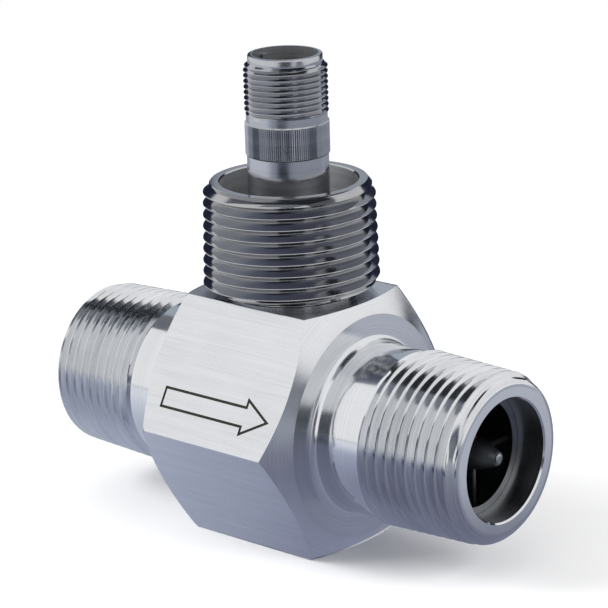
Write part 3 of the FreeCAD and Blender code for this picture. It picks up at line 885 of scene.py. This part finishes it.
def make_body(context):
    """The hexagon body with its threads, bores and arrow."""
    scene = context.scene
    sizes, threads, colours = scene.flow_body, scene.flow_threads, scene.flow_finishes
    flow = on_flow_axis()
    bm = bmesh.new()
    added(bm, spun(body_outside(sizes), sizes.steps, TURNED), flow)
    cut_to_hexagon(bm, sizes)
    riser_pocket(bm, sizes)
    flow_arrow(bm, scene.flow_arrow)
    for face in bm.faces:
        if face.material_index == TURNED and abs(face.normal.x) > FACED_SLOPE:
            face.material_index = FACED
    added(bm, spun(body_inside(sizes, threads), sizes.steps, BORED), flow)
    added(bm, body_thread(sizes, threads, threads.outlet_phase), flow)
    added(bm, body_thread(sizes, threads, threads.inlet_phase), Matrix.Rotation(math.pi, 4, "Z") @ flow)
    end = BODY_BOX[1].x
    for face in bm.faces:
        if face.material_index == BORED and abs(face.calc_center_median().x) > end - sizes.mouth_bevel:
            face.material_index = TURNED
    finished("body_form", bm, [
        metal("body_turned", colours.body),
        metal("body_brushed", colours.body, marks="brushing_marks", density=3200.0,
              smoothest=0.22, roughest=0.36),
        metal("body_thread", colours.body, contrast=0.3),
        metal("body_bore", colours.body, contrast=0.35, smoothest=0.25, roughest=0.4),
        metal("arrow_line", colours.mark, smoothest=0.4, roughest=0.6, stretch=0.0),
        metal("body_faced", colours.body, smoothest=0.14, roughest=0.25),
    ], "meter_body", flat_finish=BRUSHED)


def make_riser(context):
    """The threaded riser, seated in the body by its spigot."""
    scene = context.scene
    sizes, threads, colours = scene.flow_riser, scene.flow_threads, scene.flow_finishes
    steps = scene.flow_body.steps
    bottom, top = RISER_BOX[0].z, RISER_BOX[1].z
    shoulder = BODY_BOX[1].z + sizes.shoulder
    floor = shoulder + sizes.floor
    bm = spun([
        (top, sizes.rim_face),
        (top, sizes.cavity_radius + sizes.rim_bevel),
        (top - sizes.rim_bevel, sizes.cavity_radius),
        (floor, sizes.cavity_radius),
        (floor, sizes.hole_radius),
        (bottom, sizes.hole_radius),
        (bottom, sizes.spigot_radius),
        (shoulder, sizes.spigot_radius),
        (shoulder, sizes.foot_radius - threads.pipe_depth),
    ], steps, RISER_TURNED)
    for face in bm.faces:
        centre = face.calc_center_median()
        if floor - WELD < centre.z < top - sizes.rim_bevel and centre.xy.length < sizes.cavity_radius + WELD:
            face.material_index = RISER_CAVITY
    foot = sizes.foot_radius + sizes.bottom_bevel
    slope_start = top - sizes.rim_slope
    crest = [(shoulder, foot), (top, threads.pipe_crest)]
    upper = [
        (shoulder, sizes.foot_radius - threads.pipe_depth),
        (shoulder + 2 * sizes.bottom_bevel, foot),
        (slope_start, between(crest, slope_start)),
        (top, sizes.rim_face),
    ]
    root = threads.pipe_crest - threads.pipe_depth - RISER_ROOT_ROOM
    lower = [
        upper[0],
        (shoulder + RISER_FOOT_LEAD, root),
        (top - RISER_RIM_LEAD, root),
        upper[-1],
    ]
    added(bm, threaded(steps, RISER_THREADED, TAPER_TOOTH, threads.pipe_pitch, threads.pipe_depth,
                       threads.riser_phase, crest, upper, lower))
    finished("riser_form", bm, [
        metal("riser_turned", colours.riser, upright=True),
        metal("riser_thread", colours.riser, upright=True, contrast=0.3),
        # The cavity's lighter colour is painted light from above; its roughness is the bored finish.
        metal("riser_cavity_painted_light", colours.cavity_painted_light, upright=True, contrast=0.4, smoothest=0.4, roughest=0.6,
              metallic=0.35),
    ], "conduit_riser")


def cut_knurl(bm, sizes, start, end):
    """Presses every second line of the knurled band inwards, some a little deeper."""
    for vert in bm.verts:
        distance = math.hypot(vert.co.x, vert.co.y)
        if start - WELD < vert.co.z < end + WELD and distance > sizes.knurl_radius - WELD:
            index = round(math.atan2(vert.co.y, vert.co.x) / math.tau * sizes.steps)
            if index % 2:
                depth = sizes.knurl_depth * (1 + KNURL_UNEVENNESS * math.sin(index * KNURL_TURN))
                vert.co.xy *= (distance - depth) / distance


def polarising_key(bm, sizes, top):
    """Raises the key from the faces of the socket's wall."""
    direction = Vector((math.cos(sizes.key_angle), math.sin(sizes.key_angle), 0))
    half_width = math.cos(math.pi * (sizes.key_faces + 0.5) / sizes.steps)
    high, low = top - sizes.key_setback, top - sizes.key_foot
    wall = []
    for face in bm.faces:
        centre = face.calc_center_median()
        flat = Vector((centre.x, centre.y, 0))
        if low < centre.z < high and abs(flat.length - sizes.socket_radius) < WALL_TOLERANCE:
            if flat.normalized().dot(direction) > half_width:
                wall.append(face)
    raised = bmesh.ops.extrude_face_region(bm, geom=wall)
    verts = [piece for piece in raised["geom"] if isinstance(piece, bmesh.types.BMVert)]
    bmesh.ops.translate(bm, verts=verts, vec=-direction * sizes.key_height)
    left = [face for face in wall if face.is_valid]
    bmesh.ops.delete(bm, geom=left, context="FACES_ONLY")


def make_pickup(context):
    """The pickup's shell: lower thread, plain part, knurl, connector thread, rim and keyed socket."""
    scene = context.scene
    sizes, threads, colours = scene.flow_pickup, scene.flow_threads, scene.flow_finishes
    tip, top = PICKUP_BOX[0].z, PICKUP_BOX[1].z
    bevel = sizes.bevel
    plain_start = tip + sizes.lower_thread
    teeth_start = plain_start - sizes.shown_thread
    knurl_start = plain_start + sizes.plain_length
    relief_start = knurl_start + sizes.knurl_length
    thread_start = relief_start + sizes.relief_length
    rim_start = thread_start + sizes.connector_thread
    ledge_back = top - sizes.socket_depth
    coil_top = ledge_back - sizes.ledge
    bm = spun([
        (rim_start, sizes.rim_radius),
        (top - sizes.rim_bevel, sizes.rim_radius),
        (top - sizes.rim_bevel / 3, sizes.rim_radius - sizes.rim_bevel / 3),
        (top, sizes.rim_radius - sizes.rim_bevel),
        (top, sizes.socket_radius),
        (top - sizes.key_setback, sizes.socket_radius),
        (top - sizes.key_foot, sizes.socket_radius),
        (ledge_back, sizes.socket_radius),
        (ledge_back, sizes.ledge_radius),
        (coil_top, sizes.ledge_radius),
        (coil_top, sizes.coil_bore),
        (tip + sizes.floor, sizes.coil_bore),
        (tip + sizes.floor, sizes.pole_radius),
        (tip, sizes.pole_radius),
        (tip, sizes.thread_radius - bevel),
        (tip + bevel, sizes.thread_radius),
        (teeth_start, sizes.thread_radius),
    ], sizes.steps, PICKUP_TURNED)
    added(bm, spun([
        (plain_start, sizes.plain_radius),
        (knurl_start - bevel, sizes.plain_radius),
        (knurl_start, sizes.knurl_radius),
        (relief_start - bevel, sizes.knurl_radius),
        (relief_start, sizes.relief_radius),
        (thread_start, sizes.relief_radius),
    ], sizes.steps, PICKUP_TURNED))
    cut_knurl(bm, sizes, knurl_start, relief_start - bevel)
    for face in bm.faces:
        centre = face.calc_center_median()
        if knurl_start < centre.z < relief_start - bevel and centre.xy.length > sizes.relief_radius:
            face.material_index = PICKUP_KNURLED
        elif centre.z > ledge_back and centre.xy.length < sizes.socket_radius + WELD:
            face.material_index = PICKUP_SOCKET
    polarising_key(bm, sizes, top)
    crest_radius = sizes.thread_radius
    root = crest_radius - threads.fine_depth - FINE_ROOT_ROOM
    for start, end, first, last, chamfer in (
        (teeth_start, plain_start, crest_radius, sizes.plain_radius, bevel),
        (thread_start, rim_start, sizes.relief_radius, sizes.rim_radius, sizes.thread_chamfer),
    ):
        crest = [(start, crest_radius), (end, crest_radius)]
        upper = [(start, first), (start + bevel, crest_radius), (end - chamfer, crest_radius), (end, last)]
        lower = [(start, first), (start + bevel, root), (end - FINE_LEAD, root), (end, last)]
        added(bm, threaded(sizes.steps, PICKUP_THREADED, PLAIN_TOOTH, threads.fine_pitch, threads.fine_depth,
                           threads.connector_phase, crest, upper, lower))
    finished("pickup_form", bm, [
        metal("pickup_turned", colours.pickup, upright=True, smoothest=0.13, roughest=0.23, stretch=0.75),
        metal("pickup_thread", colours.pickup, upright=True, contrast=0.45),
        metal("pickup_knurl", colours.pickup, upright=True, contrast=0.3, smoothest=0.16, roughest=0.28,
              stretch=0.0),
        # The socket's darker colour is painted shade in the recess.
        metal("pickup_socket_painted_shade", colours.socket, upright=True, contrast=0.4, smoothest=0.25, roughest=0.4,
              metallic=0.75),
    ], "pickup_shell")


def make_internals(context):
    """The supports, rings, pins and rotor, as smoother copies, and the bushes in their places."""
    colours = context.scene.flow_finishes
    # The supports' colour is painted shade inside the bore; their roughness is the machined finish.
    steel = metal("support_machined_painted_shade", colours.inner, contrast=0.35, smoothest=0.3, roughest=0.45, stretch=0.3)
    spring = metal("spring_steel", colours.spring, contrast=0.3, smoothest=0.25, roughest=0.4)
    blades = metal("rotor_machined", colours.rotor, contrast=0.3, smoothest=0.22, roughest=0.38, stretch=0.3)
    carbide = metal("carbide_ground", colours.carbide, density=4000.0, smoothest=0.15, roughest=0.25)
    for side in ("downstream", "upstream"):
        smoothed_copy(f"{side}_support", steel)
        smoothed_copy(f"{side}_retaining_ring", spring)
        smoothed_copy(f"{side}_thrust_pin", carbide)
        dressed(f"{side}_bearing", carbide)
    smoothed_copy("rotor", blades, sharp=25.0)
    smoothed_copy("rotor_shaft", carbide)


def make_connector(context):
    """The insert and the two contacts."""
    colours = context.scene.flow_finishes
    smoothed_copy("connector_insert", moulded("insert_moulded", colours.insert))
    gold = metal("contact_plating", colours.gold, upright=True, density=5000.0, smoothest=0.12, roughest=0.22)
    for side in ("a", "b"):
        smoothed_copy(f"contact_pin_{side}", gold)


def make_coil(context):
    """Finishes for the hidden working parts of the pickup."""
    colours = context.scene.flow_finishes
    winding = metal("winding_wire", colours.copper, upright=True, density=9000.0, contrast=0.5, bump=0.00002)
    for node, material in (
        ("pole_piece", metal("pole_iron", colours.iron, upright=True, smoothest=0.3, roughest=0.5)),
        ("pickup_magnet", metal("magnet_nickel", colours.nickel, upright=True, smoothest=0.1, roughest=0.2)),
        ("coil_bobbin", moulded("bobbin_moulded", colours.bobbin)),
        ("coil_winding", winding),
        ("coil_lead_a", winding),
        ("coil_lead_b", winding),
        ("pickup_potting", moulded("potting_resin", colours.resin, smoothest=0.15, roughest=0.3, coat=0.3)),
    ):
        dressed(node, material)


# Stage


def aimed(back, roll):
    """The turn of something that looks against a direction, rolled about it."""
    level = Vector((0, 0, 1)).cross(back).normalized()
    upward = back.cross(level)
    right = level * math.cos(roll) + upward * math.sin(roll)
    return Matrix((right, back.cross(right), back)).transposed()


def compass(azimuth, elevation):
    """The direction from the object at an azimuth, where 0 is the front, and an elevation."""
    return Vector((
        math.sin(azimuth) * math.cos(elevation),
        -math.cos(azimuth) * math.cos(elevation),
        math.sin(elevation),
    ))


def make_camera(context, studio):
    """The camera at the photograph's place."""
    camera = placed("camera", bpy.data.cameras.new("camera"))
    back = compass(studio.azimuth, studio.elevation)
    place = Vector(studio.target) + back * studio.distance
    camera.matrix_world = Matrix.Translation(place) @ aimed(back, studio.roll).to_4x4()
    camera.data.lens = studio.lens
    camera.data.sensor_width = SENSOR
    camera.data.clip_start = NEAREST
    camera.data.clip_end = FARTHEST
    context.scene.camera = camera


def level_coordinates(tree):
    """The place on the floor, along and across the flow axis."""
    parts = fed(tree, tree.nodes.new("ShaderNodeSeparateXYZ"), {0: coordinates(tree)})
    return parts.outputs["X"], parts.outputs["Y"]


def background_rays(tree):
    """1 for the rays that show the background: the camera's, and those off gloss or through glass."""
    path = tree.nodes.new("ShaderNodeLightPath")
    seen = math_node(tree, "MAXIMUM", path.outputs["Is Camera Ray"], path.outputs["Is Glossy Ray"])
    return math_node(tree, "MAXIMUM", seen, path.outputs["Is Transmission Ray"])


def make_world(context, studio):
    """Even light, with a white background for the camera, gloss and clear surfaces."""
    world = bpy.data.worlds.new("studio")
    world.use_nodes = True
    context.scene.world = world
    tree = world.node_tree
    light = tree.nodes["Background"]
    strength = range_node(tree, background_rays(tree), 0.0, 1.0, studio.fill, 1.0)
    tree.links.new(strength, light.inputs["Strength"])
    light.inputs["Color"].default_value = (1.0, 1.0, 1.0, 1.0)


def make_floor(studio):
    """The pale floor, which keeps the shadow near the object and is white far out."""
    bm = bmesh.new()
    bmesh.ops.create_grid(bm, x_segments=1, y_segments=1, size=FLOOR_HALF)
    bmesh.ops.translate(bm, verts=bm.verts, vec=(0, 0, -FLOOR_DROP))
    material, tree = new_material("floor")
    shader = tree.nodes["Principled BSDF"]
    shader.inputs["Base Color"].default_value = (*studio.floor, 1.0)
    shader.inputs["Roughness"].default_value = FLOOR_ROUGHNESS
    shader.inputs["Specular IOR Level"].default_value = FLOOR_SPECULAR
    across, along = level_coordinates(tree)
    distant = range_node(tree, distance_node(tree, across, along), WHITE_START, WHITE_END)
    blend = fed(tree, tree.nodes.new("ShaderNodeMixShader"), {
        0: math_node(tree, "MULTIPLY", distant, background_rays(tree)),
        1: shader.outputs[0],
        2: plain_glow(tree, (1.0, 1.0, 1.0)).outputs[0],
    })
    tree.links.new(blend.outputs[0], tree.nodes["Material Output"].inputs["Surface"])
    placed_form("floor", bm, [material])


def make_lamp(name, place, size, watts):
    """A soft lamp, which gloss doesn't show."""
    lamp = bpy.data.lights.new(name, "AREA")
    lamp.shape = "RECTANGLE"
    lamp.size, lamp.size_y = size
    lamp.energy = watts
    holder = placed(name, lamp)
    holder.matrix_world = place
    holder.visible_glossy = False


def plain_glow(tree, tint):
    """The even light of a card."""
    return fed(tree, tree.nodes.new("ShaderNodeEmission"), {"Color": (*tint, 1.0)})


def ramp_node(tree, value, low, high, stops):
    """Colours at places between two values."""
    node = tree.nodes.new("ShaderNodeValToRGB")
    elements = node.color_ramp.elements
    ready = len(elements)
    for index, (place, tint) in enumerate(stops):
        part = (place - low) / (high - low)
        element = elements[index] if index < ready else elements.new(part)
        element.position = part
        element.color = (*tint, 1.0)
    tree.links.new(range_node(tree, value, low, high), node.inputs[0])
    return node.outputs[0]


def colour_mix(tree, kind, factor, first, second):
    """A mix of two colours."""
    node = tree.nodes.new("ShaderNodeMix")
    node.data_type = "RGBA"
    node.blend_type = kind
    fed(tree, node, {MIX_FACTOR: factor, MIX_FIRST: first, MIX_SECOND: second})
    return node.outputs[MIX_RESULT]


def table_painted_light_and_shadow(tree, tint):
    """The painted light of the table: bright on the left and far out, dim near the object, where its shadow
    is painted.
    """
    across, along = level_coordinates(tree)
    front = ramp_node(tree, across, TABLE_LEFT, TABLE_RIGHT, FRONT_TABLE)
    back = ramp_node(tree, across, TABLE_LEFT, TABLE_RIGHT, BACK_TABLE)
    near = colour_mix(tree, "MIX", range_node(tree, along, FRONT_END, BACK_WHOLE), front, back)
    far = range_node(tree, distance_node(tree, across, along), FAR_START, FAR_WHOLE)
    whole = colour_mix(tree, "LIGHTEN", far, near, (*tint, 1.0))
    return fed(tree, tree.nodes.new("ShaderNodeEmission"), {"Color": whole})


def make_card(name, place, size, tint, light=plain_glow):
    """A card that only reflections show."""
    bm = bmesh.new()
    bmesh.ops.create_grid(bm, x_segments=1, y_segments=1, size=CARD_HALF)
    bmesh.ops.scale(bm, verts=bm.verts, vec=(*size, 1.0))
    bmesh.ops.transform(bm, verts=bm.verts, matrix=place)
    material, tree = new_material(name)
    tree.nodes.clear()
    output = tree.nodes.new("ShaderNodeOutputMaterial")
    tree.links.new(light(tree, tint).outputs[0], output.inputs["Surface"])
    card = placed_form(name, bm, [material])
    card.visible_camera = False
    card.visible_diffuse = False
    card.visible_shadow = False


def standing(azimuth, elevation, distance):
    """The place of a card or lamp that faces the object."""
    back = compass(math.radians(azimuth), math.radians(elevation))
    return Matrix.Translation(STAGE_CENTRE + back * distance) @ aimed(back, 0.0).to_4x4()


def overhead(across, along, height):
    """The place of a card over the object."""
    return Matrix.Translation((across, along, height))


def lying(azimuth, distance, height):
    """The place of a card that lies flat."""
    across = compass(math.radians(azimuth), 0.0) * distance
    turn = Matrix.Rotation(math.radians(azimuth), 4, "Z")
    return Matrix.Translation((across.x, across.y, height)) @ turn


def make_stage(context):
    """Camera, background, floor, lamps and the cards that the steel reflects."""
    studio = context.scene.flow_studio
    context.scene.view_settings.view_transform = "Standard"
    make_camera(context, studio)
    make_world(context, studio)
    make_floor(studio)
    make_lamp("key_lamp", standing(-45, 35, 0.8), size=(0.5, 0.4), watts=6.0)
    make_lamp("right_lamp", standing(95, 25, 0.8), size=(0.4, 0.4), watts=4.0)
    # The table card paints the table's light and the object's shadow on it, as the steel reflects them.
    make_card("table_card", lying(0, 0.0, 0.0), (1.6, 1.6), (0.42, 0.45, 0.52), light=table_painted_light_and_shadow)
    for name, place, size, tint in (
        ("front_card", lying(27, 0.27, 0.0005), (0.16, 0.22), (0.02, 0.03, 0.05)),
        ("ceiling_card", overhead(-0.1, 0.11, 0.6), (1.0, 0.34), (0.17, 0.18, 0.21)),
        ("zenith_card", overhead(-0.02, 0.1, 0.59), (0.48, 0.28), (0.035, 0.038, 0.042)),
        ("front_zenith_card", overhead(0.04, -0.14, 0.59), (0.4, 0.2), (0.3, 0.32, 0.36)),
        ("left_back_card", standing(215, 24, 0.7), (0.8, 0.64), (0.42, 0.46, 0.52)),
        ("left_side_card", standing(-120, 10, 0.64), (0.34, 0.41), (0.02, 0.025, 0.05)),
        ("right_back_card", standing(189, 10, 0.64), (0.5, 0.36), (0.02, 0.025, 0.05)),
        ("camera_card", standing(42, 9, 0.7), (0.48, 0.32), (0.085, 0.095, 0.11)),
        ("left_horizon_card", standing(-40, -3.5, 0.75), (1.0, 0.03), (0.4, 0.43, 0.5)),
        ("right_horizon_card", standing(83, 12, 0.75), (0.24, 0.08), (0.05, 0.06, 0.09)),
        ("right_low_card", standing(85, 3, 0.74), (0.3, 0.17), (0.2, 0.22, 0.26)),
    ):
        make_card(name, place, size, tint)


# Operators


class OBJECT_OT_flow_body(bpy.types.Operator):
    """Model the hexagon body with its threads, bores and engraved arrow"""

    bl_idname = "object.flow_body"
    bl_label = "Body"
    bl_options = {"REGISTER", "UNDO"}

    def execute(self, context):
        make_body(context)
        return {"FINISHED"}


class OBJECT_OT_flow_riser(bpy.types.Operator):
    """Model the threaded riser over the pickup"""

    bl_idname = "object.flow_riser"
    bl_label = "Riser"
    bl_options = {"REGISTER", "UNDO"}

    def execute(self, context):
        make_riser(context)
        return {"FINISHED"}


class OBJECT_OT_flow_pickup(bpy.types.Operator):
    """Model the pickup's threaded and knurled shell"""

    bl_idname = "object.flow_pickup"
    bl_label = "Pickup shell"
    bl_options = {"REGISTER", "UNDO"}

    def execute(self, context):
        make_pickup(context)
        return {"FINISHED"}


class OBJECT_OT_flow_internals(bpy.types.Operator):
    """Finish the supports, retaining rings, rotor, shaft and bearings"""

    bl_idname = "object.flow_internals"
    bl_label = "Supports and rotor"
    bl_options = {"REGISTER", "UNDO"}

    def execute(self, context):
        make_internals(context)
        return {"FINISHED"}


class OBJECT_OT_flow_connector(bpy.types.Operator):
    """Finish the connector's insert and contacts"""

    bl_idname = "object.flow_connector"
    bl_label = "Connector"
    bl_options = {"REGISTER", "UNDO"}

    def execute(self, context):
        make_connector(context)
        return {"FINISHED"}


class OBJECT_OT_flow_coil(bpy.types.Operator):
    """Finish the coil, magnet, pole piece and potting"""

    bl_idname = "object.flow_coil"
    bl_label = "Coil and magnet"
    bl_options = {"REGISTER", "UNDO"}

    def execute(self, context):
        make_coil(context)
        return {"FINISHED"}


class SCENE_OT_flow_stage(bpy.types.Operator):
    """Set up the floor, the lamps and the camera"""

    bl_idname = "scene.flow_stage"
    bl_label = "Stage"
    bl_options = {"REGISTER", "UNDO"}

    def execute(self, context):
        make_stage(context)
        return {"FINISHED"}


class VIEW3D_PT_flow_sensor(bpy.types.Panel):
    """Buttons and sizes of the flow sensor"""

    bl_label = "Flow sensor"
    bl_space_type = "VIEW_3D"
    bl_region_type = "UI"
    bl_category = "Flow sensor"

    def draw(self, context):
        for operator in OPERATORS:
            self.layout.operator(operator.bl_idname)
        for place in GROUPS_OF_SIZES:
            box = self.layout.box()
            group = getattr(context.scene, place)
            for label in group.bl_rna.properties.keys():
                if label not in ("rna_type", "name"):
                    box.prop(group, label)


OPERATORS = (
    OBJECT_OT_flow_body,
    OBJECT_OT_flow_riser,
    OBJECT_OT_flow_pickup,
    OBJECT_OT_flow_internals,
    OBJECT_OT_flow_connector,
    OBJECT_OT_flow_coil,
    SCENE_OT_flow_stage,
)
GROUPS_OF_SIZES = {
    "flow_body": FlowBodySizes,
    "flow_threads": FlowThreadSizes,
    "flow_arrow": FlowArrowSizes,
    "flow_riser": FlowRiserSizes,
    "flow_pickup": FlowPickupSizes,
    "flow_finishes": FlowFinishes,
    "flow_studio": FlowStudio,
}


def register():
    """Adds the groups of sizes, the operators and the panel."""
    for place, group in GROUPS_OF_SIZES.items():
        bpy.utils.register_class(group)
        setattr(bpy.types.Scene, place, PointerProperty(type=group))
    for part in (*OPERATORS, VIEW3D_PT_flow_sensor):
        bpy.utils.register_class(part)


def unregister():
    """Takes them away again."""
    for part in (VIEW3D_PT_flow_sensor, *reversed(OPERATORS)):
        bpy.utils.unregister_class(part)
    for place, group in GROUPS_OF_SIZES.items():
        delattr(bpy.types.Scene, place)
        bpy.utils.unregister_class(group)


def main():
    """Builds the sensor and its stage."""
    register()
    bpy.ops.object.flow_body()
    bpy.ops.object.flow_riser()
    bpy.ops.object.flow_pickup()
    bpy.ops.object.flow_internals()
    bpy.ops.object.flow_connector()
    bpy.ops.object.flow_coil()
    bpy.ops.scene.flow_stage()
    bpy.context.view_layer.update()


if __name__ == "__main__":
    main()
